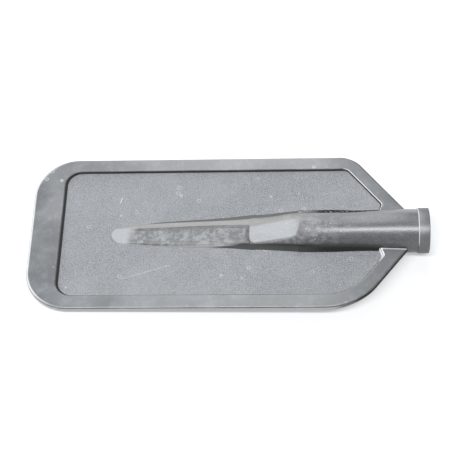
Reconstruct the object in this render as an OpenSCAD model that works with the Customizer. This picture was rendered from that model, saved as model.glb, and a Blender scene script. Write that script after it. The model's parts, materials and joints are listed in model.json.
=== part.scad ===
// Paddle blade with a round shaft socket.
//
// Frame: the origin is the centre of the socket's mouth, +X runs out of the mouth along the shaft,
// Y runs across the blade and +Z points out of the front face. The blade's mid-plane is z = 0.
// All sizes are in millimetres.

/* [Blade outline] */
// Length from the socket's mouth to the blade's tip
overall_length = 368; // [340:1:450]
// Width across the two long sides
blade_width = 160; // [130:1:200]
// Distance from the mouth back to where the shoulders run into the neck
throat_setback = 19.2; // [15:0.1:26]
// Angle between each shoulder and the shaft's axis
shoulder_angle = 51.5; // [45:0.5:62]
// Radius of the two corners at the tip
tip_corner_radius = 40; // [20:1:55]
// Radius of the tighter shoulder, on the +Y side
tight_shoulder_radius = 24; // [16:1:50]
// Radius of the rounder shoulder, on the -Y side
round_shoulder_radius = 58; // [16:1:70]

/* [Edge rim] */
// Thickness of the rim, front half and back half together
rim_thickness = 7; // [5:0.5:10]
// Width of the rim along the long sides
rim_side_width = 13; // [9:0.5:18]
// Width of the rim across the tip
rim_tip_width = 29; // [15:1:40]
// Width of the rim along the shoulders
rim_shoulder_width = 12; // [9:0.5:14]
// Radius inside the two tip corners of the rim
rim_inner_tip_radius = 15; // [5:1:25]
// How far the web's edge reaches into the groove between the rim's halves
tongue_depth = 5; // [3:0.5:7]

/* [Web] */
// Thickness of the web that fills the rim
web_thickness = 2.4; // [1.6:0.1:3.6]
// Distance from the mouth back to the end of the recess
recess_end_setback = 41; // [36:1:46]

/* [Socket] */
// Diameter of the shaft that the socket takes
shaft_diameter = 28; // [25:0.5:30]
// Wall of the tube at its thin inner end
tube_wall = 3.1; // [2.6:0.1:4]
// Wall of the tube at its neck, behind the collar
neck_wall = 5.8; // [5:0.1:7]
// Distance from the mouth back to where the neck starts to taper
taper_start = 20; // [16:1:26]
// Distance from the mouth back to where the taper ends
taper_end = 74; // [60:1:90]
// Length of the socket tube
socket_length = 118; // [100:1:140]

/* [Collar] */
// Width of the collar along the tube
collar_width = 10.3; // [6:0.1:14]
// How far the collar stands proud of the neck
collar_step = 0.9; // [0.6:0.1:2]
// How deep the neck is turned down under the collar
collar_seat_depth = 1.5; // [0.8:0.1:2]
// Radius of the collar's rounded edges
collar_edge_radius = 0.5; // [0.2:0.1:0.8]

/* [Spine] */
// Length of the ramp that comes down from the tube
ramp_length = 46; // [38:1:60]
// Length of the low ridge between the ramp and the nose
ridge_length = 105; // [70:1:115]
// Length of the rounded nose at the ridge's end
nose_length = 23; // [12:1:28]
// Height of the ramp's flat above the web at its foot
ramp_foot_height = 2.2; // [1.5:0.1:3]
// Height of the ridge above the web at the foot of the ramp
ridge_height = 2.8; // [2.2:0.1:5]
// Height of the ridge above the web where the nose begins
nose_height = 2.5; // [2:0.1:4]
// Half of the ridge's width at the foot of the ramp
ridge_half_width = 14.3; // [12:0.1:16]
// Half of the ridge's width where the nose begins
nose_half_width = 10.3; // [8:0.1:11]
// Depth of the dished strip along the middle of the ridge
dish_depth = 1.2; // [0.4:0.1:1.4]

/* [Root beads] */
// Width of the bead in the corner between the tube and the web
bead_width = 5.2; // [3.5:0.1:6]
// Width of the fillet along the ridge at the foot of the ramp
ridge_fillet_width = 3.3; // [2:0.1:4]
// Width of the fillet along the ridge where the nose begins
nose_fillet_width = 0.8; // [0.5:0.1:1.6]

/* [Hidden] */
$fn = 96;
slack = 1;                       // how far a cutting shape runs past what it cuts

tip_x = -overall_length;
recess_end_x = -recess_end_setback;
tube_end_x = -socket_length;
half_width = blade_width / 2;
half_rim = rim_thickness / 2;
half_web = web_thickness / 2;
shaft_clearance = 0.1;           // between the shaft and the bore, all round
bore_radius = shaft_diameter / 2 + shaft_clearance;
tube_radius = bore_radius + tube_wall;
neck_radius = bore_radius + neck_wall;
collar_radius = neck_radius + collar_step;
collar_seat_radius = neck_radius - collar_seat_depth;
recess_corner_radius = 3;        // where the recess's end wall meets a shoulder
// Where the two shoulder lines would cross, inside the tube, and where they meet the long sides
apex_x = neck_radius / tan(shoulder_angle) - throat_setback;
shoulder_x = apex_x - half_width / tan(shoulder_angle);

// Colours
rim_grey = [0.20, 0.21, 0.22];
web_grey = [0.27, 0.28, 0.29];
spine_grey = [0.16, 0.17, 0.18];
collar_grey = [0.13, 0.14, 0.15];
bead_grey = [0.09, 0.09, 0.10];

// ---- Rounded outlines ----
// A corner is [x, y, radius]. Corners go round the outline in order.

function unit(v) = v / norm(v);
function corner_point(c) = [c[0], c[1]];
// Half the angle that the outline encloses at corner b
function half_angle(a, b, c) = acos(unit(a - b) * unit(c - b)) / 2;
function tangent_length(a, b, c, r) = r / tan(half_angle(a, b, c));
function arc_centre(a, b, c, r) = b + unit(unit(a - b) + unit(c - b)) * r / sin(half_angle(a, b, c));

// A convex outline whose corners are true arcs
module rounded_outline(corners) {
    count = len(corners);
    points = [for (corner = corners) corner_point(corner)];
    before = [for (i = [0:count - 1]) points[(i + count - 1) % count]];
    after = [for (i = [0:count - 1]) points[(i + 1) % count]];
    polygon([
        for (i = [0:count - 1])
            let (reach = tangent_length(before[i], points[i], after[i], corners[i][2]))
            for (neighbour = [before[i], after[i]])
                points[i] + unit(neighbour - points[i]) * reach
    ]);
    for (i = [0:count - 1])
        if (corners[i][2] > 0)
            translate(arc_centre(before[i], points[i], after[i], corners[i][2]))
                circle(r = corners[i][2]);
}

// Outside of the rim. The two shoulders run on to a point inside the tube.
module blade_outline() {
    rounded_outline([
        [tip_x, -half_width, tip_corner_radius],
        [shoulder_x, -half_width, round_shoulder_radius],
        [apex_x, 0, 0],
        [shoulder_x, half_width, tight_shoulder_radius],
        [tip_x, half_width, tip_corner_radius]
    ]);
}

// The recess inside the rim, grown outwards by grow on every side
module recess_outline(grow = 0) {
    side = half_width - rim_side_width + grow;
    inset = rim_shoulder_width - grow;
    // distance along the shoulder from its outer corner, and the point that far along, set in by inset
    function along(d) = [
        shoulder_x + d * cos(shoulder_angle) - inset * sin(shoulder_angle),
        half_width - d * sin(shoulder_angle) - inset * cos(shoulder_angle)
    ];
    end_x = recess_end_x + grow;
    corner = along((half_width - side - inset * cos(shoulder_angle)) / sin(shoulder_angle));
    end = along((end_x - shoulder_x + inset * sin(shoulder_angle)) / cos(shoulder_angle));
    tip = tip_x + rim_tip_width - grow;
    rounded_outline([
        [tip, -side, rim_inner_tip_radius + grow],
        [corner[0], -side, round_shoulder_radius - inset],
        [end[0], -end[1], recess_corner_radius],
        [end[0], end[1], recess_corner_radius],
        [corner[0], side, tight_shoulder_radius - inset],
        [tip, side, rim_inner_tip_radius + grow]
    ]);
}

// Turns a profile of [radius, distance back from the mouth] about the shaft's axis
module turned_along_shaft() {
    rotate([0, -90, 0]) rotate_extrude() children();
}

// What the socket tube takes out of the rim and the web
module tube_space() {
    turned_along_shaft()
        polygon([
            [0, -slack], [neck_radius, -slack], [neck_radius, taper_start],
            [tube_radius, taper_end], [tube_radius, socket_length], [0, socket_length]
        ]);
}

// ---- Rim and web ----

// Front half of the rim: a frame with a groove for the web's edge, open where the tube passes
module rim_half() {
    difference() {
        linear_extrude(half_rim) blade_outline();
        translate([0, 0, -slack]) linear_extrude(half_rim + 2 * slack) recess_outline();
        translate([0, 0, -slack]) linear_extrude(half_web + slack) recess_outline(tongue_depth);
        tube_space();
    }
}

module rim_front() {
    color(rim_grey) rim_half();
}

module rim_back() {
    color(rim_grey) mirror([0, 0, 1]) rim_half();
}

module web_panel() {
    color(web_grey)
    difference() {
        translate([0, 0, -half_web]) linear_extrude(web_thickness) recess_outline(tongue_depth);
        tube_space();
    }
}

// ---- Spine ----
// Each section is the upper half of a rounded oval about the mid-plane, cut off at the web's face.
// The ramp is a scooped flat across it, the ridge has a dished crown, and a fillet runs along each
// foot. The first section is the tube's own circle and the last one closes a low rounded nose.

function mix(a, b, u) = a + (b - a) * u;
function bezier(a, b, c, t) = (1 - t) * (1 - t) * a + 2 * t * (1 - t) * b + t * t * c;

ramp_scoop = 0.25;               // how much steeper the ramp is at its top than at its foot
shoulder_rise = 1.2;             // crown of the oval beside the ramp, as a share of the flat's height
ridge_squareness = 2.7;          // exponent of the ridge's oval, 2 being an ellipse
dish_share = 0.66;               // part of the ridge's width that the dish takes
fillet_rise = 0.62;              // height of each fillet as a share of its width
ramp_steps = 16;
ridge_steps = 8;
nose_steps = 10;
nose_end = 0.992;                // share of the nose's length at which its small end is cut off
crown_steps = 20;                // steps over each side of the crown
fillet_steps = 4;                // steps down each fillet

// A section is [x, half width, crown above the mid-plane, fillet width, dish depth, squareness, flat],
// where flat is the height that the ramp cuts it off at
function ramp_section(u) =
    let (flat = mix(tube_radius, half_web + ramp_foot_height, u * (1 + ramp_scoop * (1 - u))))
    [
        tube_end_x - u * ramp_length,
        mix(tube_radius, ridge_half_width, u),
        min(tube_radius, shoulder_rise * flat),
        mix(bead_width, ridge_fillet_width, u),
        0.5 * dish_depth * u,
        mix(2, ridge_squareness, u),
        flat
    ];
function ridge_section(u) = [
    tube_end_x - ramp_length - u * ridge_length,
    mix(ridge_half_width, nose_half_width, u),
    half_web + mix(ridge_height, nose_height, u),
    mix(ridge_fillet_width, nose_fillet_width, u),
    dish_depth * (1 - 0.5 * u),
    ridge_squareness,
    tube_radius
];
function nose_section(u) =
    let (across = sqrt(1 - u * u), down = mix(across, 1 - u, 0.6))
    [
        tube_end_x - ramp_length - ridge_length - u * nose_length,
        nose_half_width * across,
        half_web + nose_height * down,
        nose_fillet_width * down,
        dish_depth * 0.5 * pow(1 - u, 2),
        mix(ridge_squareness, 2, u),
        tube_radius
    ];

// One side of a section from its crown to its foot, as [y, z]
function flank(section) =
    let (
        half = section[1],
        crown = section[2],
        fillet = section[3],
        dish = section[4],
        power = section[5],
        flat = section[6],
        rise = min(fillet_rise * fillet, 0.5 * (min(crown, flat) - half_web)),
        low = (half_web + rise) / crown,
        low_angle = asin(pow(low, power / 2)),
        start = [half * pow(cos(low_angle), 2 / power), crown * low],
        lean = half / crown * pow(low / (start[0] / half), power - 1),
        corner = [start[0] + rise * lean, half_web],
        foot = corner + [fillet, 0]
    )
    concat(
        [for (i = [0:crown_steps])
            let (
                angle = mix(90, low_angle, i / crown_steps),
                y = half * pow(max(0, cos(angle)), 2 / power),
                z = min(flat, crown * pow(sin(angle), 2 / power)),
                inside = max(0, 1 - pow(y / (dish_share * half), 2))
            )
            [y, z - dish * inside * inside]],
        [for (i = [1:fillet_steps]) bezier(start, corner, foot, i / fillet_steps)]
    );

// A whole section from its +Y foot over the crown to its -Y foot, as [x, y, z]
function section_points(section) =
    let (side = flank(section), last = len(side) - 1)
    concat(
        [for (i = [last:-1:0]) [section[0], side[i][0], side[i][1]]],
        [for (i = [1:last]) [section[0], -side[i][0], side[i][1]]]
    );

spine_sections = concat(
    [for (i = [0:ramp_steps - 1]) ramp_section(i / ramp_steps)],
    [for (i = [0:ridge_steps - 1]) ridge_section(i / ridge_steps)],
    [for (i = [0:nose_steps]) nose_section(nose_end * sin(90 * i / nose_steps))]
);

module spine_half() {
    rings = [for (section = spine_sections) section_points(section)];
    size = len(rings[0]);
    count = len(rings);
    skin = [
        for (i = [0:count - 2])
            for (j = [0:size - 1])
                let (a = i * size + j, b = i * size + (j + 1) % size)
                for (face = [[a, b, a + size], [b, b + size, a + size]]) face
    ];
    first_end = [for (j = [size - 1:-1:0]) j];
    last_end = [for (j = [0:size - 1]) (count - 1) * size + j];
    polyhedron(
        points = [for (ring = rings) for (point = ring) point],
        faces = concat(skin, [first_end, last_end])
    );
}

module spine_front() {
    color(spine_grey) spine_half();
}

module spine_back() {
    color(spine_grey) rotate([180, 0, 0]) spine_half();
}

// ---- Socket ----

module socket_tube() {
    color(spine_grey)
    turned_along_shaft()
        polygon([
            [bore_radius, 0], [collar_seat_radius, 0], [collar_seat_radius, collar_width],
            [neck_radius, collar_width], [neck_radius, taper_start],
            [tube_radius, taper_end], [tube_radius, socket_length], [bore_radius, socket_length]
        ]);
}

// The collar's section, with its width up the page and its two outer edges rounded
module collar_section() {
    edge = collar_edge_radius;
    wall = collar_radius - collar_seat_radius;
    translate([collar_seat_radius, 0]) {
        square([wall - edge, collar_width]);
        translate([0, edge]) square([wall, collar_width - 2 * edge]);
        for (height = [edge, collar_width - edge])
            translate([wall - edge, height]) circle(r = edge);
    }
}

module mouth_collar() {
    color(collar_grey) turned_along_shaft() collar_section();
}

// ---- Root beads ----

// The bead in the corner between the tube and the web's front face, on the +Y side. Its hollow
// face is part of a cylinder that just bites into the tube, so the bead ends in a clean edge.
module root_bead() {
    foot = tube_radius + bead_width;
    touching = (foot * foot + half_web * half_web - tube_radius * tube_radius)
        / (2 * (tube_radius - half_web));
    hollow = 1.05 * touching;
    top = tube_radius * sin(atan2(half_web + hollow, foot));
    length = socket_length - recess_end_setback;
    difference() {
        translate([tube_end_x, tube_radius - bead_width, half_web])
            cube([length, 2 * bead_width, top - half_web]);
        tube_space();
        translate([tube_end_x - slack, foot, half_web + hollow])
            rotate([0, 90, 0]) cylinder(r = hollow, h = length + 2 * slack);
    }
}

module root_beads() {
    color(bead_grey)
    for (side = [0, 1], face = [0, 1])
        mirror([0, side, 0]) mirror([0, 0, face]) root_bead();
}

rim_front();
rim_back();
web_panel();
spine_front();
spine_back();
socket_tube();
mouth_collar();
root_beads();
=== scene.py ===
"""Paddle blade of dark moulded plastic with a socket for a round shaft.

The blade lies face up. +X runs out of the socket's mouth along the shaft, +Y runs across the blade
towards the tighter shoulder and +Z points out of the front face. Everything is in metres.
"""

import json
import math

import bmesh
import bpy
from mathutils import Matrix, Vector, noise


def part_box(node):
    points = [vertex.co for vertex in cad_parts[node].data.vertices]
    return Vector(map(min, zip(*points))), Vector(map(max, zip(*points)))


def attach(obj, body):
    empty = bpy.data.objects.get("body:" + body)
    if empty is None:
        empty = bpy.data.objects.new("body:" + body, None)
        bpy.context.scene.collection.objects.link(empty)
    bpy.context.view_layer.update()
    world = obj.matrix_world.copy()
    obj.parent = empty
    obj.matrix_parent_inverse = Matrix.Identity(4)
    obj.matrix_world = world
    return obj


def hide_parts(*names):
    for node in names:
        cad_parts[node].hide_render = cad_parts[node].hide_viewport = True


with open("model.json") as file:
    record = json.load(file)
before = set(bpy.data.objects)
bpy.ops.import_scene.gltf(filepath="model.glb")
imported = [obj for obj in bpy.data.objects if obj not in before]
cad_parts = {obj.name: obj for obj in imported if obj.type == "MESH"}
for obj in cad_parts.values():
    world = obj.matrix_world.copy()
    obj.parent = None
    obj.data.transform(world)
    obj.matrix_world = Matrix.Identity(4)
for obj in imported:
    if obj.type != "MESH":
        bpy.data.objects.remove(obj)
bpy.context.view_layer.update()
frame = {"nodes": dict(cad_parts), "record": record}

MM = 0.001

# ---- Sizes, from the frame ----

rim_low, rim_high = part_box("rim_front")
tube_low, tube_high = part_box("socket_tube")
collar_low, collar_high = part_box("mouth_collar")
socket = next(mount for mount in frame["record"]["mounts"] if mount["name"] == "shaft_socket")

tip_x = rim_low.x
half_width = rim_high.y
half_rim = rim_high.z                       # half of the rim's thickness
half_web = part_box("web_panel")[1].z         # half of the web's thickness
tube_end_x = tube_low.x                     # where the tube meets the ramp
neck_radius = tube_high.z
bore_radius = socket["dims"]["r_mm"] * MM
collar_x = collar_low.x
collar_radius = collar_high.z
nose_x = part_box("spine_front")[0].x
recess_end_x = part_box("root_beads")[1].x

# Sizes that the frame doesn't hold
shoulder_angle = math.radians(51.5)
throat_x = -19.2 * MM                       # where the shoulders run into the neck
tube_radius = 17.2 * MM                     # past the taper
taper_end_x = -78 * MM
tight_shoulder, round_shoulder, tip_corner = 24 * MM, 58 * MM, 40 * MM
rim_side, rim_tip, rim_shoulder = 13 * MM, 27.5 * MM, 12 * MM
inner_tip_corner, tight_corner, recess_corner = 15 * MM, 7 * MM, 4 * MM
rim_edge_radius = 1.5 * MM
side_draft = 0.2 * MM                       # how far the rim's side wall leans in
rim_wall_run, tip_wall_run = 1.5 * MM, 3.1 * MM     # how far the recess's wall runs in at its foot
recess_lip_radius = 1 * MM
parting_edge_radius = 0.25 * MM             # along the line where the rim's halves meet
throat_gap = 0.9 * MM                       # between the tube and the rim's lip beside it
lip_overrun = 0.6 * MM                      # the recess's end lies this far past the beads
ramp_end_x = -164 * MM                      # sharp crease at the foot of the ramp
ridge_end_x = -269 * MM                     # where the nose begins

apex_x = throat_x + neck_radius / math.tan(shoulder_angle)      # where the shoulders' edges would meet

crease_angle = 0.9                          # radians, past which an edge is shaded sharp
large_area = 0.0005                         # square metres, past which a face of the rim is shaded flat


def mix(a, b, share):
    """a at share 0 and b at share 1."""
    return a + (b - a) * share


def ease(share):
    """Goes smoothly from 0 to 1 as share does, and stays there."""
    share = min(max(share, 0.0), 1.0)
    return share * share * (3 - 2 * share)


# ---- Meshes ----

def finish_piece(name, shape, material, node, flat_faces=()):
    """Makes an object from a bmesh, smooth except for its flat faces, in place of a CAD node."""
    bmesh.ops.recalc_face_normals(shape, faces=shape.faces)
    for face in shape.faces:
        face.smooth = True
    for face in flat_faces:
        face.smooth = False
    for edge in shape.edges:
        edge.smooth = edge.calc_face_angle(0) < crease_angle
    mesh = bpy.data.meshes.new(name)
    shape.to_mesh(mesh)
    shape.free()
    mesh.materials.append(material)
    piece = bpy.data.objects.new(name, mesh)
    bpy.context.collection.objects.link(piece)
    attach(piece, "root")
    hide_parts(node)


def rounded_face(shape, corners, z):
    """A flat face through the corners [x, y, radius], each rounded by a vertex bevel."""
    points = [Vector((x, y, z)) for x, y, radius in corners]
    verts = [shape.verts.new(point) for point in points]
    shape.faces.new(verts)
    count = len(corners)
    for i, (x, y, radius) in enumerate(corners):
        if radius > 0:
            arms = points[i - 1] - points[i], points[(i + 1) % count] - points[i]
            reach = radius / math.tan(arms[0].angle(arms[1]) / 2)
            bmesh.ops.bevel(shape, geom=[verts[i]], affect="VERTICES", offset=reach,
                            offset_type="OFFSET", segments=20, profile=0.5, material=-1)


def outer_corners(inset=0.0):
    """The blade's outline from the +Y throat round the tip to the -Y throat, set in by inset."""
    lip = neck_radius + throat_gap
    side = half_width - inset
    apex = apex_x - inset / math.sin(shoulder_angle)
    corner_x = apex - side / math.tan(shoulder_angle)
    lip_x = apex - lip / math.tan(shoulder_angle)
    tip = tip_x + inset
    return [(lip_x, lip, 0), (corner_x, side, tight_shoulder - inset), (tip, side, tip_corner - inset),
            (tip, -side, tip_corner - inset), (corner_x, -side, round_shoulder - inset), (lip_x, -lip, 0)]


def inner_corners(run, tip_run):
    """The recess's outline from the -Y throat round the tip to the +Y throat.

    It's set in by run, by tip_run at the tip and by twice run at the end beside the -Y throat.
    """
    side = half_width - rim_side - run
    inset = rim_shoulder + run
    apex = apex_x - inset / math.sin(shoulder_angle)
    corner_x = apex - side / math.tan(shoulder_angle)
    end_x = recess_end_x + lip_overrun - 2 * run
    far_x = recess_end_x + lip_overrun - run
    end_y, far_y = ((apex - x) * math.tan(shoulder_angle) for x in (end_x, far_x))
    lip_x = end_x - 3 * MM
    lip = tube_outer(lip_x) + throat_gap
    tip = tip_x + rim_tip + tip_run
    return [(lip_x, -lip, 0), (end_x, -end_y, recess_corner), (corner_x, -side, round_shoulder - inset),
            (tip, -side, inner_tip_corner - run), (tip, side, inner_tip_corner - run),
            (corner_x, side, tight_corner - run), (far_x, far_y, recess_corner), (lip_x, lip, 0)]


def flat_edges(shape, up, outward):
    """Edges of the upper (up 1) or lower (up -1) flat face, on the outline or else round the recess."""
    flat = max(shape.faces, key=lambda face: face.normal.z * up * face.calc_area())
    picked = []
    for edge in flat.edges:
        wall = next(face for face in edge.link_faces if face != flat)
        middle = (edge.verts[0].co + edge.verts[1].co) / 2
        if (wall.normal.dot(middle - Vector((tip_x / 2, 0, middle.z))) > 0) == outward:
            picked.append(edge)
    return picked


def rim_half(name, node, face_side):
    """One half of the rim, with a parting edge at the mid-plane and a sloping wall round the recess."""
    shape = bmesh.new()
    slope = half_rim / (half_rim - half_web)
    rounded_face(shape, outer_corners() + inner_corners(rim_wall_run * slope, tip_wall_run * slope), 0)
    rounded_face(shape, outer_corners(side_draft) + inner_corners(0, 0), half_rim)
    bmesh.ops.bridge_loops(shape, edges=list(shape.edges))
    bmesh.ops.recalc_face_normals(shape, faces=shape.faces)
    rounds = (1, True, rim_edge_radius), (1, False, recess_lip_radius), (-1, True, parting_edge_radius)
    for up, outward, radius in rounds:
        bmesh.ops.bevel(shape, geom=flat_edges(shape, up, outward), affect="EDGES", offset=radius,
                        offset_type="OFFSET", segments=4, profile=0.5, material=-1, clamp_overlap=True)
    flat = [face for face in shape.faces if face.calc_area() > large_area]
    if face_side < 0:
        bmesh.ops.scale(shape, vec=(1, 1, -1), verts=shape.verts)
    finish_piece(name, shape, rim_plastic, node, flat)


def turned(outline, soften=0.0):
    """Turns a closed outline of [x, radius] about the shaft's axis."""
    shape = bmesh.new()
    verts = [shape.verts.new((x, 0, radius)) for x, radius in outline]
    shape.faces.new(verts)
    if soften:
        bmesh.ops.bevel(shape, geom=verts, affect="VERTICES", offset=soften, offset_type="OFFSET",
                        segments=3, profile=0.5, material=-1, clamp_overlap=True)
    ring = list(shape.edges)
    bmesh.ops.delete(shape, geom=list(shape.faces), context="FACES_ONLY")
    bmesh.ops.spin(shape, geom=ring + list(shape.verts), cent=(0, 0, 0), axis=(1, 0, 0),
                   angle=math.tau, steps=128, use_merge=True)
    return shape


def tube_outer(x):
    """Outside radius of the tube at x."""
    share = ease((throat_x - x) / (throat_x - taper_end_x))
    return mix(neck_radius, tube_radius, share)


def socket_tube():
    """The tapering tube, turned down at the mouth for the collar, with a groove beside that."""
    stations = 30
    start_x = collar_x - 0.2 * MM
    places = [mix(start_x, tube_end_x, i / stations) for i in range(stations + 1)]
    seat = neck_radius - 1.4 * MM
    groove = neck_radius - 0.25 * MM
    outline = [(-0.3 * MM, bore_radius), (-0.3 * MM, seat), (collar_x, seat), (collar_x, groove),
               (collar_x - 0.15 * MM, groove)]
    outline += [(x, tube_outer(x)) for x in places] + [(tube_end_x, bore_radius)]
    shape = turned(outline)
    finish_piece("socket_tube_skin", shape, tube_plastic, "socket_tube",
                 [face for face in shape.faces if abs(face.normal.x) > 0.9])


def mouth_collar():
    """The ring round the mouth, which covers the tube's turned-down end."""
    seat = neck_radius - 1.5 * MM
    outline = [(0, seat), (0, collar_radius), (collar_x, collar_radius), (collar_x, seat)]
    shape = turned(outline, soften=0.5 * MM)
    finish_piece("collar", shape, collar_plastic, "mouth_collar")


# The spine. Each station is [x, half width, width of the fillet at its foot, y of its centre], in mm.

spine_stations = [
    (-118, 17.2, 4.6, 0.0), (-131, 16.2, 4.4, -0.3), (-145, 15.0, 3.9, -0.7), (-164, 13.5, 3.1, -1.0),
    (-180, 12.9, 2.4, -1.1), (-197, 12.9, 1.8, -1.7), (-228, 12.5, 1.3, -2.2), (-256, 11.2, 0.8, -2.3),
    (-269, 9.9, 0.6, -2.4),
]
half_column, fillet_column, centre_column = 1, 2, 3
ramp_foot, ridge_rise, ridge_end_rise = 2.3 * MM, 2.8 * MM, 2.5 * MM       # heights above the web
ramp_scoop = 0.25                           # how much steeper the ramp is at its top than at its foot
ramp_tilt = 0.33                            # slope of the ramp's flat towards -Y
trough_offset = 1.4 * MM                    # the trough's middle lies this far to -Y of the spine's
ridge_squareness = 2.4                      # exponent of the ridge's oval, 2 being an ellipse
fillet_rise = 0.62                          # height of each fillet as a share of its width
crown_share = 0.82                          # part of a section's points that lie above the fillets


def between(x, column):
    """The value of a column at x, on straight lines between the stations."""
    x /= MM
    if x >= spine_stations[0][0]:
        return spine_stations[0][column] * MM
    for near, far in zip(spine_stations, spine_stations[1:]):
        if x >= far[0]:
            return mix(near[column], far[column], (near[0] - x) / (near[0] - far[0])) * MM
    return spine_stations[-1][column] * MM


def smoothed(x, column):
    """The same with its corners rounded off, as a mean over 14 mm that stays off the tube."""
    reach = min(7 * MM, tube_end_x - x)
    return sum(between(x + reach * shift, column) for shift in (-1, -0.5, 0, 0.5, 1)) / 5


def spine_section(x):
    """The section at x.

    That is its half width, fillet width, base height, crown height, squareness, depth of the dish in
    its crown and half width of that dish.
    """
    half, fillet = smoothed(x, half_column), smoothed(x, fillet_column)
    if x > ramp_end_x:
        share = (tube_end_x - x) / (tube_end_x - ramp_end_x)
        crown = min(tube_radius, 1.2 * ramp_height(x))
        squareness = 2 + (ridge_squareness - 2) * share
        return half, fillet, half_web * share, crown, squareness, 0.6 * MM * share, 8.5 * MM
    if x > ridge_end_x:
        share = (ramp_end_x - x) / (ramp_end_x - ridge_end_x)
        valley = 0.5 * MM * (1 - ease((ramp_end_x - x) / (8 * MM)))
        fade = 1 - ease((ridge_end_x + 13 * MM - x) / (20 * MM))
        crown = half_web + mix(ridge_rise, ridge_end_rise, share)
        dish = (1.2 * MM + valley) * fade
        return half, fillet, half_web, crown, ridge_squareness, dish, mix(8.6, 6.8, share) * MM
    share = min((ridge_end_x - x) / (ridge_end_x - nose_x), 1.0)
    across = math.sqrt(max(1 - share ** 2.6, 0.0))
    crown = half_web + ridge_end_rise * (1 - share ** 1.3)
    return half * across, fillet * across, half_web, crown, ridge_squareness, 0.0, 5 * MM


def ramp_height(x):
    """Height of the ramp's flat at x."""
    share = (tube_end_x - x) / (tube_end_x - ramp_end_x)
    return mix(tube_radius, half_web + ramp_foot, share * (1 + ramp_scoop * (1 - share)))


def spine_point(x, across):
    """A point of the spine's surface. across runs from -1 at the -Y foot to 1 at the +Y foot."""
    half, fillet, base, crown, power, dish, dish_half = spine_section(x)
    side = math.copysign(1, across)
    centre = smoothed(x, centre_column)
    height = crown - base
    rise = min(fillet_rise * fillet, 0.5 * (crown - half_web))
    low = (half_web + rise - base) / max(height, 1e-6)
    low_angle = math.asin(min(low, 1.0) ** (power / 2))
    if abs(across) <= crown_share:
        angle = mix(math.pi / 2, low_angle, abs(across) / crown_share)
        y = half * max(math.cos(angle), 0.0) ** (2 / power)
        z = base + height * math.sin(angle) ** (2 / power)
        if x > ramp_end_x:
            # The flat leans about a line 3 mm to -Y of its middle, and starts level at the tube
            tilt = ramp_tilt * (side * y + 3 * MM) * ease((tube_end_x - x) / (6 * MM))
            z = soft_min(z, ramp_height(x) + tilt, min(0.7 * MM, 0.1 * (tube_end_x - x)))
        aside = abs(side * y + trough_offset)
        z -= dish * (1 - ease((aside - dish_half + 3 * MM) / (3.4 * MM)))
        return Vector((x, centre + side * y, z))
    start = Vector((half * math.cos(low_angle) ** (2 / power), base + height * low))
    lean = 0.0
    if start.x > 1e-6 and low > 1e-6:
        lean = half / height * (low / (start.x / half)) ** (power - 1)
    corner = Vector((start.x + min(rise * lean, fillet), half_web))
    foot = corner + Vector((fillet, 0))
    t = (abs(across) - crown_share) / (1 - crown_share)
    spot = start * (1 - t) ** 2 + corner * 2 * t * (1 - t) + foot * t * t
    return Vector((x, centre + side * spot.x, spot.y))


def soft_min(a, b, blend):
    """The smaller of two heights, blended where they are nearly the same."""
    gap = max(blend - abs(a - b), 0.0) / max(blend, 1e-9)
    return min(a, b) - gap * gap * blend / 4


def close_below(shape, depth):
    """Closes an open sheet with a wall down to depth and a floor."""
    rim = [edge for edge in shape.edges if edge.is_boundary]
    made = bmesh.ops.extrude_edge_only(shape, edges=rim)["geom"]
    for item in made:
        if isinstance(item, bmesh.types.BMVert):
            item.co.z = depth
    floor_edges = [item for item in made if isinstance(item, bmesh.types.BMEdge) and item.is_boundary]
    bmesh.ops.contextual_create(shape, geom=floor_edges)


def spine_half(name, node, face_side):
    """A grid shaped to the spine's surface, closed underneath inside the web."""
    shape = bmesh.new()
    bmesh.ops.create_grid(shape, x_segments=270, y_segments=150, size=1)
    start_x = tube_end_x + 3 * MM
    last_x = nose_x + 0.02 * MM
    for vert in shape.verts:
        share = (1 - vert.co.x) / 2
        x = mix(start_x, last_x, share ** 0.97)     # rows slightly closer towards the nose
        spot = spine_point(min(x, tube_end_x), vert.co.y)
        if x > tube_end_x:
            spot.yz *= 0.997                # just inside the tube's end
        vert.co = (x, spot.y, spot.z)
    close_below(shape, 0)
    bmesh.ops.remove_doubles(shape, verts=shape.verts, dist=1e-6)
    if face_side < 0:
        bmesh.ops.scale(shape, vec=(1, 1, -1), verts=shape.verts)
    finish_piece(name, shape, tube_plastic, node)


def foot_of_tube(x):
    """Distance from the shaft's axis to the outer edge of the bead beside the tube."""
    share = ease((recess_end_x - x) / (50 * MM))
    return tube_outer(x) + mix(3.2 * MM, 5.3 * MM, share)


def root_bead(shape, side, face_side):
    """A hollow-faced bead in the corner between the tube and the web, with a ragged foot.

    Each cross section is a closed loop, whose last hidden steps lie inside the web and the tube.
    """
    loop, hidden = 11, 3
    high = 0.27                             # angle from the mid-plane at which the bead meets the tube
    made = bmesh.ops.create_grid(shape, x_segments=240, y_segments=loop, size=1)["verts"]
    for vert in made:
        x = mix(recess_end_x - 1 * MM, tube_end_x - 1 * MM, (vert.co.x + 1) / 2)
        step = round((vert.co.y + 1) / 2 * loop)
        radius = tube_outer(x)
        foot = foot_of_tube(x) + 0.35 * MM * noise.noise(Vector((x * 500, side * 7.0, face_side * 3.0)))
        start = Vector((radius * math.cos(high), radius * math.sin(high)))
        corner = Vector((radius + 0.1 * MM, half_web))
        t = step / (loop - hidden)
        if t <= 1:
            spot = start * (1 - t) ** 2 + corner * 2 * t * (1 - t) + Vector((foot, half_web)) * t * t
        else:
            below = Vector((foot, half_web / 2)), Vector((radius - 1 * MM, half_web / 2)), start
            spot = below[step - loop + 2]
        vert.co = (x, side * spot.x, face_side * spot.y)
    bmesh.ops.remove_doubles(shape, verts=made, dist=1e-6)
    bmesh.ops.holes_fill(shape, edges=[edge for edge in shape.edges if edge.is_boundary])


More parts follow.
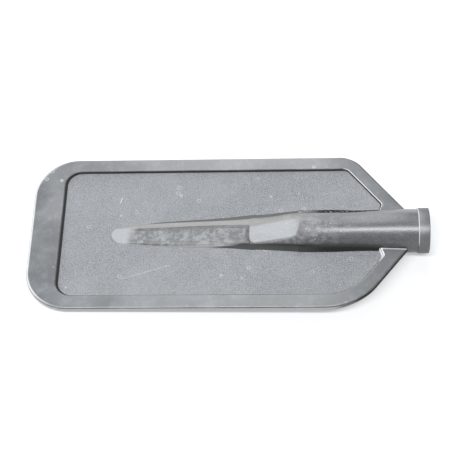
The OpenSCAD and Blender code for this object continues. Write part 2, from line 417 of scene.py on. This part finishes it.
def throat_bead(shape, side):
    """Fills the narrow gap between the tube and the rim's lip, where its black colour stands as painted
    shade.
    """
    made = bmesh.ops.create_cube(shape, size=1)["verts"]
    front_x, back_x = throat_x - 1.5 * MM, recess_end_x - 3.5 * MM
    for vert in made:
        x = front_x if vert.co.x > 0 else back_x
        y = tube_outer(x) + (throat_gap + 1 * MM if vert.co.y > 0 else -1 * MM)
        vert.co = (x, side * y, vert.co.z * 2 * (half_rim - 0.9 * MM))


def root_beads():
    """All the beads as one piece: one for each side and face, and a filler each side at the throat."""
    shape = bmesh.new()
    for side in (1, -1):
        for face_side in (1, -1):
            root_bead(shape, side, face_side)
        throat_bead(shape, side)
    finish_piece("root_bead_strips", shape, bead_shade_plastic, "root_beads")


# ---- Materials ----

class Value:
    """A socket, or a number, in a sum that becomes Math nodes."""

    def __init__(self, graph, socket):
        self.graph = graph
        self.socket = socket

    def math(self, operation, *others):
        sockets = [self.socket] + [getattr(other, "socket", other) for other in others]
        node = self.graph.node("ShaderNodeMath", {"operation": operation}, dict(enumerate(sockets)))
        return Value(self.graph, node.outputs[0])

    def __add__(self, other):
        return self.math("ADD", other)

    def __mul__(self, other):
        return self.math("MULTIPLY", other)

    def __sub__(self, other):
        return self.math("SUBTRACT", other)

    def __rsub__(self, other):
        return self.math("MULTIPLY", -1.0).math("ADD", other)

    def __pow__(self, power):
        return self.math("POWER", power)

    __radd__ = __add__
    __rmul__ = __mul__

    def above(self, level, softness):
        """0 below the level, 1 above level + softness."""
        node = self.graph.node("ShaderNodeMapRange", {"interpolation_type": "SMOOTHSTEP"},
                               {"Value": self.socket, "From Min": level, "From Max": level + softness})
        return Value(self.graph, node.outputs["Result"])

    def below(self, level, softness):
        """1 below the level, 0 above level + softness."""
        return 1 - self.above(level, softness)

    def between(self, low, rise, high, fall):
        """1 from low + rise to high, 0 below low and above high + fall."""
        return self.above(low, rise) * self.below(high, fall)

    def capped(self):
        """The value, but never more than 1."""
        return self.math("MINIMUM", 1.0)

    def size(self):
        """The value without its sign."""
        return self.math("ABSOLUTE")


class Graph:
    """A material's node tree around one Principled BSDF."""

    def __init__(self, name):
        self.material = bpy.data.materials.new(name)
        self.material.use_nodes = True
        self.tree = self.material.node_tree
        self.tree.nodes.clear()
        self.shader = self.node("ShaderNodeBsdfPrincipled")
        self.node("ShaderNodeOutputMaterial", {}, {"Surface": self.shader.outputs["BSDF"]})
        self.place = self.node("ShaderNodeTexCoord").outputs["Object"]

    def node(self, kind, settings=None, inputs=None):
        made = self.tree.nodes.new(kind)
        for key, value in (settings or {}).items():
            setattr(made, key, value)
        for key, value in (inputs or {}).items():
            self.feed(made.inputs[key], value)
        return made

    def feed(self, target, value):
        value = getattr(value, "socket", value)
        if isinstance(value, bpy.types.NodeSocket):
            self.tree.links.new(value, target)
        elif target.type == "RGBA" and len(value) == 3:
            target.default_value = (*value, 1)
        else:
            target.default_value = value

    def noise(self, scale, detail=2.0, roughness=0.5, place=None):
        made = self.node("ShaderNodeTexNoise", {}, {"Vector": place or self.place, "Scale": scale,
                                                    "Detail": detail, "Roughness": roughness})
        return Value(self, made.outputs["Fac"])

    def cells(self, scale):
        """Distance to the nearest of many scattered points."""
        made = self.node("ShaderNodeTexVoronoi", {}, {"Vector": self.place, "Scale": scale})
        return Value(self, made.outputs["Distance"])

    def stretched(self, along):
        """Object coordinates for a pattern that is drawn out along the shaft, less than 1 being longer."""
        made = self.node("ShaderNodeMapping", {}, {"Vector": self.place, "Scale": (along, 1, 1)})
        return made.outputs["Vector"]

    def tint(self, share, low, high):
        """A colour between low and high. A colour Mix has its factor at 0 and its colours at 6 and 7."""
        made = self.node("ShaderNodeMix", {"data_type": "RGBA"}, {0: share, 6: low, 7: high})
        return made.outputs[2]

    def bump(self, height, distance, under=None):
        inputs = {"Height": height, "Distance": distance, "Strength": 1.0}
        if under is not None:
            inputs["Normal"] = under
        return self.node("ShaderNodeBump", {}, inputs).outputs["Normal"]

    def set(self, **inputs):
        """Sets or links the shader's own sockets."""
        for key, value in inputs.items():
            self.feed(self.shader.inputs[key.replace("_", " ")], value)

    def axis(self, name):
        made = self.node("ShaderNodeSeparateXYZ", {}, {"Vector": self.place})
        return Value(self, made.outputs[name])

    def scratch(self, start, end, width):
        """1 along a fine line from start to end, each [x, y] in mm on a face, and 0 beside it."""
        start, end = Vector(start) * MM, Vector(end) * MM
        along = (end - start).normalized()
        length = (end - start).length
        x, y = self.axis("X"), self.axis("Y")
        reach = x * along.x + y * along.y - start.dot(along)
        aside = (x * -along.y + y * along.x - (start.x * -along.y + start.y * along.x)).size()
        middle = (reach - length / 2).size()
        return aside.below(width * 0.4, width * 0.6) * middle.below(length * 0.4, length * 0.1)


def grey(level):
    return level, level, level


def worn_plastic(name, tone, pale, roughness, specks, ring_share=0.0):
    """Dark moulded plastic with uneven tone, dust specks and small ring marks. Returns its graph."""
    graph = Graph(name)
    clouds = graph.noise(18, 3)
    fine = graph.noise(160, 4, 0.6)
    patch = clouds.above(0.42, 0.2) * 0.6 + fine.above(0.45, 0.25) * 0.4
    dots = graph.cells(specks).below(0.028, 0.02)
    rings = graph.cells(specks * 0.7).between(0.09, 0.015, 0.12, 0.02) * ring_share
    rare = graph.noise(30, 1).above(0.47, 0.06)
    marks = ((dots * 0.7 + rings) * rare).capped()
    graph.patch = patch
    graph.colour = graph.tint(marks, graph.tint(patch, tone, pale), (0.42, 0.43, 0.44))
    graph.set(Base_Color=graph.colour, Roughness=patch * 0.08 + roughness)
    return graph


def rim_finish():
    """Satin, with pale painted highlights on the edges of the outline and round the recess, a pale painted
    reflection on the outer side wall, and painted shade on the walls inside the recess and on the -Y
    shoulder's outer wall.
    """
    graph = worn_plastic("satin_rim_plastic", (0.043, 0.045, 0.048), (0.085, 0.088, 0.092), 0.3, 90, 0.35)
    back = graph.axis("X") * -1
    across = graph.axis("Y")
    height = graph.axis("Z").size()
    on_front = graph.axis("Z").above(0, 0.2 * MM)
    plus_y = across.above(0, 1 * MM)
    minus_y = 1 - plus_y

    # Distance from the centres of the tip's corners, which is tip_corner along the blade's edge
    past_corner = (back + (tip_x + tip_corner)).math("MAXIMUM", 0.0)
    beside = (across.size() - (half_width - tip_corner)).math("MAXIMUM", 0.0)
    outline = (past_corner ** 2 + beside ** 2) ** 0.5
    # Distance outwards from the straight edges of the shoulders
    diagonal = across.size() * math.cos(shoulder_angle) - back * math.sin(shoulder_angle)
    diagonal = diagonal - apex_x * math.sin(shoulder_angle)

    # Painted light outside: a pale highlight line on the bevel round the tip, and a pale painted
    # reflection on the side wall except near its edges
    tip_edge_highlight = outline.between(tip_corner - 2.4 * MM, 0.4 * MM, tip_corner - 0.8 * MM, 0.3 * MM)
    tip_edge_highlight = tip_edge_highlight * back.above(330 * MM, 30 * MM)
    side_wall_reflection = outline.above(tip_corner - 3 * MM, 2.8 * MM)
    side_wall_reflection = side_wall_reflection * (height + on_front * MM).below(3 * MM, 0.4 * MM)

    # Painted highlights inside: pale lines on the lip near the throat, on the notch at its -Y end and on
    # the lip beside the tube
    inside = (outline - tip_corner).below(-11 * MM, 1 * MM) * diagonal.below(-10.5 * MM, 1 * MM)
    throat = back.below(72 * MM, 6 * MM) * inside
    wall = height.below(half_rim - 0.8 * MM, 0.3 * MM) * inside
    lip = height.between(half_rim - 0.75 * MM, 0.2 * MM, half_rim - 0.2 * MM, 0.15 * MM) * throat
    fold = height.between(half_rim - 1.15 * MM, 0.1 * MM, half_rim - 0.85 * MM, 0.1 * MM)
    notch_highlight = wall * back.below(45.5 * MM, 1 * MM) * minus_y * (1 - fold * 0.7)
    beside_tube = back * 0.043 - across                 # constant along the -Y lip beside the tube
    tube_lip_highlight = beside_tube.between(21.4 * MM, 0.3 * MM, 22.6 * MM, 0.4 * MM)
    tube_lip_highlight = tube_lip_highlight * height.above(half_rim - 0.8 * MM, 0.3 * MM) * back.below(44 * MM, 1 * MM)
    # All the painted highlights and the painted reflection, as one pale tint
    painted_light = (side_wall_reflection * 0.5 + notch_highlight * 0.6 + lip * 0.9 + tube_lip_highlight * 0.4 + tip_edge_highlight * 0.45).capped()

    # Painted shade, near black, and dull: the recess's walls, and the outer wall of the -Y shoulder
    near_wall_shade = diagonal.above(-8 * MM, 6 * MM) * minus_y * height.below(half_rim - 1 * MM, 0.3 * MM)
    black = (wall * (1 - throat * plus_y * 0.4) + near_wall_shade).capped()
    dull = diagonal.above(-22 * MM, 14 * MM) * minus_y

    mouth_end = back.below(30 * MM, 60 * MM)
    shaded = mouth_end * (plus_y * 0.3 - graph.patch * 0.4 + 0.56)
    colour = graph.tint(shaded, graph.colour, (0.022, 0.023, 0.024))
    # Painted shade on the recess's walls and the -Y shoulder's outer wall
    colour = graph.tint(black, colour, grey(0.004))
    graph.set(Base_Color=graph.tint(painted_light, colour, grey(0.42)),
              Roughness=(graph.patch * 0.08 + black + dull * 0.12 + 0.3).capped())
    normal = graph.bump(graph.noise(9, 2), 0.0012)
    graph.set(Normal=graph.bump(graph.noise(900, 3), 0.00003, normal))
    return graph.material


def web_finish():
    """Fine grain with paler tops, a slight waviness and two scratches."""
    graph = worn_plastic("grained_web_plastic", (0.06, 0.064, 0.069), (0.09, 0.095, 0.101), 0.46, 90, 0.35)
    grain = graph.noise(1200, 2, 0.7) + graph.noise(560, 2) * 0.4
    speckle = graph.noise(1000, 2, 0.7).above(0.42, 0.12)
    normal = graph.bump(graph.noise(8, 2), 0.0012)
    normal = graph.bump(grain, 0.0009, normal)
    long_scratch = graph.scratch((-285, -50.5), (-233, -34), 0.45 * MM)
    short_scratch = graph.scratch((-286, 32.5), (-284, 38.5), 0.35 * MM)
    scratches = (long_scratch * 0.13 + short_scratch * 0.5).capped()
    colour = graph.tint(speckle * 0.6, graph.colour, (0.15, 0.155, 0.162))
    graph.set(Base_Color=graph.tint(scratches, colour, grey(0.6)), Normal=normal)
    return graph.material


def tube_finish():
    """Smooth and dark on the tube, scuffed towards its end. The spine is paler and duller. Painted
    highlights lie on the ramp's and nose's flat tops and a painted reflection on the tube's +Y side;
    painted shade lies along the feet, on the trough's +Y slope, at the crease and on the -Y side of the
    tube's end and ramp.
    """
    graph = worn_plastic("tube_and_spine_plastic", (0.039, 0.04, 0.042), (0.06, 0.061, 0.063), 0.3, 80)
    back = graph.axis("X") * -1
    across = graph.axis("Y")
    height = graph.axis("Z").size()
    wavy = back + graph.noise(60, 3) * 24 * MM - 12 * MM
    plus_y = across.above(0, 0.5 * MM)
    minus_y = 1 - plus_y
    tube_end, ramp_end, ridge_end = -tube_end_x, -ramp_end_x, -ridge_end_x

    # Where the spine's paler tone shows: the +Y half of the tube's end, most of the ramp, and all of the
    # spine past the crease. It is partly painted light: near the tube's end the lit +Y half is painted
    # pale and the -Y side left dark as painted shade.
    fading = back.above(tube_end - 24 * MM, 32 * MM)
    lower = back.above(tube_end - 2 * MM, 6 * MM) * 13 * MM
    past_crease = back.above(ramp_end + 6 * MM, 20 * MM)
    spine_tone_and_lit_side = fading * ((across + lower).above(0, 2 * MM) + past_crease).capped()

    # The mottled trough, with painted shade darkening the slope along its +Y side and at its start
    behind = back.above(ramp_end - 0.5 * MM, 1 * MM)
    length = behind * wavy.below(ridge_end - 6 * MM, 14 * MM)
    leaning = across + back.above(180 * MM, 100 * MM) * 2.6 * MM
    trough = length * leaning.below(5 * MM, 1 * MM) * across.above(-16 * MM, 3 * MM)
    slope = trough * leaning.above(2.4 * MM, 1 * MM)
    slope = (slope + trough * wavy.below(ramp_end, 6 * MM)).capped()

    # Painted highlights on the pale flats: the ramp's, streaked, and the nose's
    streaks = graph.noise(60, 3, 0.6, graph.stretched(0.25))
    painted_flat_highlights = wavy.above(tube_end - 5 * MM, 14 * MM) * (1 - behind) + wavy.above(ridge_end - 5 * MM, 12 * MM)
    painted_flat_highlights = painted_flat_highlights * (across + 5.2 * MM).size().below(7.4 * MM, 3 * MM)
    painted_flat_highlights = painted_flat_highlights * (1 - streaks.above(0.5, 0.25) * (1 - behind) * 0.45)

    # Painted shade, dark: along the seam by the web, at the -Y foot of the ramp, at the -Y foot of the
    # tube and in a pinch at the -Y end of the crease
    seam = height.below(half_web + 0.1 * MM + plus_y * 0.5 * MM, 0.4 * MM)
    seam = seam * back.between(45 * MM, 4 * MM, ridge_end - 20 * MM, 14 * MM) * (1 - plus_y * 0.25)
    seam = seam * (1 - back.above(185 * MM, 20 * MM) * minus_y * 0.75)
    under = (1 - past_crease) * back.above(tube_end - 10 * MM, 10 * MM)
    under = under * height.below(half_web + 2 * MM, 3 * MM) * across.below(-15 * MM, 2.5 * MM)
    shade = minus_y * height.below(2 * MM, 6 * MM)
    shade = shade * back.between(42 * MM, 4 * MM, tube_end + 10 * MM, 14 * MM)
    pinch_x, pinch_y = back - 168 * MM, across + 15 * MM
    crease_pinch_shade = ((pinch_x * 0.35) ** 2 + pinch_y ** 2).math("SQRT").below(0.6 * MM, 2.2 * MM)
    dark = (seam + under + shade + crease_pinch_shade).capped()

    # Wear on the tube, most of it towards the ramp, and a paler +Y flank that is painted reflection
    mottle = graph.noise(200, 5, 0.6)
    end = back.between(60 * MM, 50 * MM, tube_end + 8 * MM, 12 * MM)
    scuffs = graph.noise(420, 5, 0.7).above(0.56, 0.1) * streaks.above(0.42, 0.15) * (end * 0.8 + 0.2)
    blotches = end * mottle.above(0.42, 0.2) * 0.45
    dust = graph.noise(1100, 2, 0.7).above(0.5, 0.14)
    flank_reflection = across.above(6 * MM, 6 * MM) * (1 - fading)

    mottled = graph.tint(mottle.above(0.4, 0.25), (0.048, 0.049, 0.05), (0.108, 0.114, 0.119))
    spine = graph.tint(trough, graph.tint(painted_flat_highlights, (0.1, 0.099, 0.097), (0.14, 0.145, 0.15)), mottled)
    # Painted shade on the trough's +Y slope and at its start
    spine = graph.tint(slope * 0.8, spine, grey(0.02))
    colour = graph.tint(spine_tone_and_lit_side, graph.colour, spine)
    # Painted reflection on the +Y flank
    colour = graph.tint(flank_reflection * 0.4, colour, (0.18, 0.184, 0.187))
    colour = graph.tint(blotches, colour, (0.13, 0.131, 0.132))
    colour = graph.tint(scuffs * 0.5, colour, grey(0.3))
    colour = graph.tint(dust * 0.12, colour, grey(0.3))
    # Painted shade along the feet and at the crease, almost black
    graph.set(Base_Color=graph.tint(dark * 0.95, colour, grey(0.013)),
              Roughness=graph.patch * 0.08 + fading * 0.16 + end * 0.1 + dark * 0.4 + 0.31,
              Specular_IOR_Level=0.35)
    normal = graph.bump(graph.noise(30, 2, 0.5, graph.stretched(0.3)), 0.0006)
    normal = graph.bump(mottle * trough, 0.0006, normal)
    graph.set(Normal=graph.bump(graph.noise(800, 3), 0.00009, normal))
    return graph.material


def collar_finish():
    """Dark, with a pale painted highlight ring on the edge towards the tube, front and back."""
    graph = worn_plastic("collar_plastic", (0.045, 0.046, 0.048), (0.07, 0.071, 0.073), 0.42, 80)
    inner_end = (graph.axis("X") * -1).above(-collar_x - 0.9 * MM, 0.3 * MM)
    # Painted highlight on the ring's edge towards the tube
    painted_light = inner_end * graph.axis("Z").size().above(4 * MM, 6 * MM)
    graph.set(Base_Color=graph.tint(painted_light * 0.5, graph.colour, grey(0.4)),
              Normal=graph.bump(graph.noise(600, 3), 0.00008))
    return graph.material


def bead_finish():
    """Black as painted shade in the corner beside the tube, lighter higher up and paler towards the ramp,
    most on the +Y side, with torn and whitened flecks on the +Y side.
    """
    graph = Graph("ragged_bead_painted_shade")
    torn = graph.noise(900, 3, 0.6, graph.stretched(0.4)).above(0.54, 0.1)
    plus_y = graph.axis("Y").above(0, 1 * MM)
    near_ramp = (graph.axis("X") * -1).above(92 * MM, 24 * MM)
    upper = graph.axis("Z").size().above(half_web + 0.5 * MM, 2.5 * MM)
    tone = graph.tint(upper, grey(0.008), grey(0.03))
    tone = graph.tint(near_ramp, tone, graph.tint(plus_y, grey(0.018), grey(0.07)))
    graph.set(Base_Color=graph.tint(torn * plus_y * 0.35, tone, (0.3, 0.3, 0.29)), Roughness=0.9,
              Specular_IOR_Level=0.05, Normal=graph.bump(graph.noise(500, 3), 0.0004))
    return graph.material


rim_plastic = rim_finish()
web_plastic = web_finish()
tube_plastic = tube_finish()
collar_plastic = collar_finish()
bead_shade_plastic = bead_finish()

rim_half("rim_front_skin", "rim_front", 1)
rim_half("rim_back_skin", "rim_back", -1)
socket_tube()
mouth_collar()
spine_half("spine_front_skin", "spine_front", 1)
spine_half("spine_back_skin", "spine_back", -1)
root_beads()
for material_slot in frame["nodes"]["web_panel"].material_slots:
    material_slot.material = web_plastic

# ---- Floor, light and camera ----

bpy.context.scene.view_settings.view_transform = "Standard"


def white_table():
    """Matt, with a little light of its own so that the shadow on it stays faint."""
    graph = Graph("white_table")
    clouds = graph.noise(3, 2)
    graph.set(Base_Color=graph.tint(clouds, grey(0.21), grey(0.22)), Roughness=0.9,
              Emission_Color=(1, 1, 1), Emission_Strength=0.44)
    return graph.material


def floor():
    """The floor that the blade lies on, touching the ramp's crest and the tip's lower edge."""
    heel = Vector((tube_end_x, 0, -tube_radius))
    toe = Vector((tip_x, 0, -half_rim))
    slope = math.atan2(heel.z - toe.z, heel.x - toe.x)
    shape = bmesh.new()
    bmesh.ops.create_grid(shape, x_segments=1, y_segments=1, size=6)
    bmesh.ops.rotate(shape, cent=(0, 0, 0), matrix=Matrix.Rotation(-slope, 3, "Y"), verts=shape.verts)
    bmesh.ops.translate(shape, vec=heel, verts=shape.verts)
    mesh = bpy.data.meshes.new("floor")
    shape.to_mesh(mesh)
    shape.free()
    mesh.materials.append(white_table())
    stage = bpy.data.objects.new("floor", mesh)
    bpy.context.collection.objects.link(stage)


def soft_light(name, direction, distance, size, strength):
    """A rectangular soft light that faces the blade from a direction."""
    light = bpy.data.lights.new(name, "AREA")
    light.shape = "RECTANGLE"
    light.size, light.size_y = size
    light.energy = strength
    light.color = (0.98, 1, 1.02)
    lamp = bpy.data.objects.new(name, light)
    centre = Vector((tip_x / 2, 0, 0))
    direction = Vector(direction).normalized()
    lamp.location = centre + direction * distance
    lamp.rotation_euler = direction.to_track_quat("Z", "Y").to_euler()
    bpy.context.collection.objects.link(lamp)


def camera():
    """Looks down on the front from the -Y side through a long lens, rolled a little."""
    azimuth, elevation, roll = (math.radians(angle) for angle in (6.76, 58.86, -6.32))
    back = Vector((math.sin(azimuth) * math.cos(elevation), -math.cos(azimuth) * math.cos(elevation),
                   math.sin(elevation)))
    level = (-back).cross(Vector((0, 0, 1))).normalized()
    upright = level.cross(-back)
    right = level * math.cos(roll) + upright * math.sin(roll)
    up = upright * math.cos(roll) - level * math.sin(roll)
    turn = Matrix((right, up, back)).transposed().to_4x4()
    place = Vector((-115.5, -593.0, 1001.6)) * MM
    data = bpy.data.cameras.new("camera")
    data.lens = 100.9
    data.sensor_width = 36
    data.clip_start, data.clip_end = 0.05, 30
    eye = bpy.data.objects.new("camera", data)
    eye.matrix_world = Matrix.Translation(place) @ turn
    bpy.context.collection.objects.link(eye)
    bpy.context.scene.camera = eye


def surroundings():
    """Dim white light from all round."""
    world = bpy.data.worlds.new("studio")
    world.use_nodes = True
    background = world.node_tree.nodes["Background"]
    background.inputs["Color"].default_value = (1, 1, 1, 1)
    background.inputs["Strength"].default_value = 0.3
    bpy.context.scene.world = world


floor()
camera()
surroundings()
soft_light("back_light", (-0.06, 0.76, 0.65), 2.0, (0.65, 2.6), 48)
soft_light("left_light", (-0.93, 0.2, 0.33), 2.0, (2.2, 1.0), 55)
soft_light("over_light", (0, -0.36, 0.933), 2.2, (2.2, 0.22), 125)
